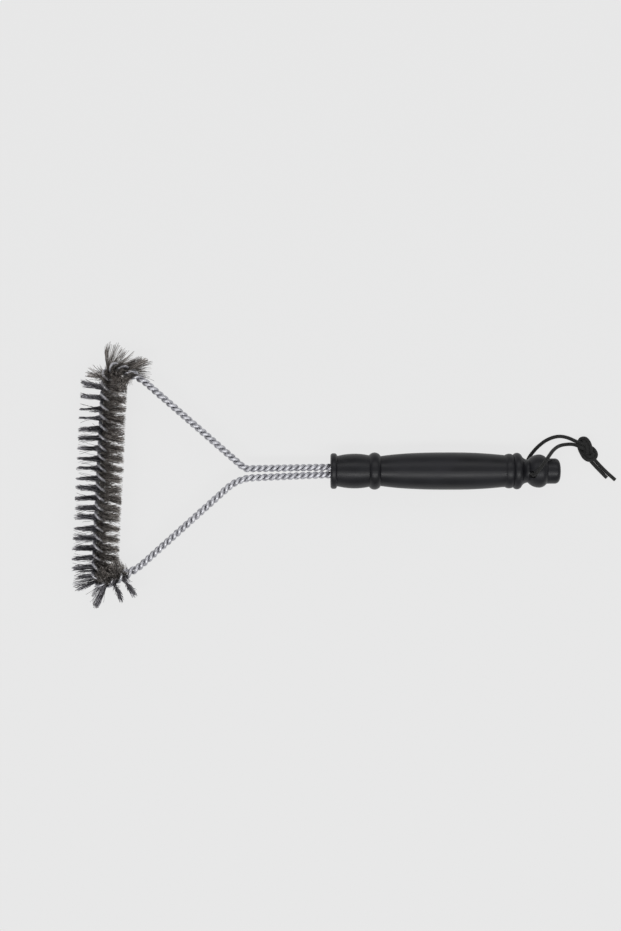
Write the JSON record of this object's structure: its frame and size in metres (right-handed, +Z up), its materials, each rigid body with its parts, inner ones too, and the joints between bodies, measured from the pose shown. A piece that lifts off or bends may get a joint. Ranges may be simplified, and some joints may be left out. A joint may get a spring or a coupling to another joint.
{
  "type": "grill cleaning brush",
  "caption": "Three-sided grill cleaning brush: twisted-wire triangle with fine steel bristles, turned black plastic handle and a knotted hang cord.",
  "frame": {"origin": "middle of the brush's bounding box with the hang cord left out, on the floor that the brush lies on", "axes": "+X along the handle from the bristle head to the hang end; +Z up from the floor; +Y across the handle, along the bristle head"},
  "size_m": [0.3437, 0.1636, 0.0284],
  "materials": {
    "black_moulded_plastic": "satin",
    "potting_resin": "satin",
    "galvanised_wire": "satin",
    "steel_filament": "satin",
    "braided_cord": "matte"
  },
  "bodies": {
    "root": {"anchor_plug": "potting_resin", "bristle_tuft_01": "steel_filament", "bristle_tuft_02": "steel_filament", "bristle_tuft_03": "steel_filament", "bristle_tuft_04": "steel_filament", "bristle_tuft_05": "steel_filament", "bristle_tuft_06": "steel_filament", "bristle_tuft_07": "steel_filament", "bristle_tuft_08": "steel_filament", "bristle_tuft_09": "steel_filament", "bristle_tuft_10": "steel_filament", "bristle_tuft_11": "steel_filament", "bristle_tuft_12": "steel_filament", "bristle_tuft_13": "steel_filament", "bristle_tuft_14": "steel_filament", "bristle_tuft_15": "steel_filament", "bristle_tuft_16": "steel_filament", "bristle_tuft_17": "steel_filament", "bristle_tuft_18": "steel_filament", "bristle_tuft_19": "steel_filament", "bristle_tuft_20": "steel_filament", "bristle_tuft_21": "steel_filament", "bristle_tuft_22": "steel_filament", "bristle_tuft_23": "steel_filament", "bristle_tuft_24": "steel_filament", "bristle_tuft_25": "steel_filament", "bristle_tuft_26": "steel_filament", "bristle_tuft_27": "steel_filament", "cord_knot": "braided_cord", "cord_over_top": "braided_cord", "cord_tail_long": "braided_cord", "cord_tail_short": "braided_cord", "cord_under_neck": "braided_cord", "end_cap": "black_moulded_plastic", "grip": "black_moulded_plastic", "head_wire_1": "galvanised_wire", "head_wire_2": "galvanised_wire", "lower_corner_wire_1": "galvanised_wire", "lower_corner_wire_2": "galvanised_wire", "lower_leg_wire_1": "galvanised_wire", "lower_leg_wire_2": "galvanised_wire", "lower_stem_wire_1": "galvanised_wire", "lower_stem_wire_2": "galvanised_wire", "upper_corner_wire_1": "galvanised_wire", "upper_corner_wire_2": "galvanised_wire", "upper_leg_wire_1": "galvanised_wire", "upper_leg_wire_2": "galvanised_wire", "upper_stem_wire_1": "galvanised_wire", "upper_stem_wire_2": "galvanised_wire"}
  },
  "joints": []
}
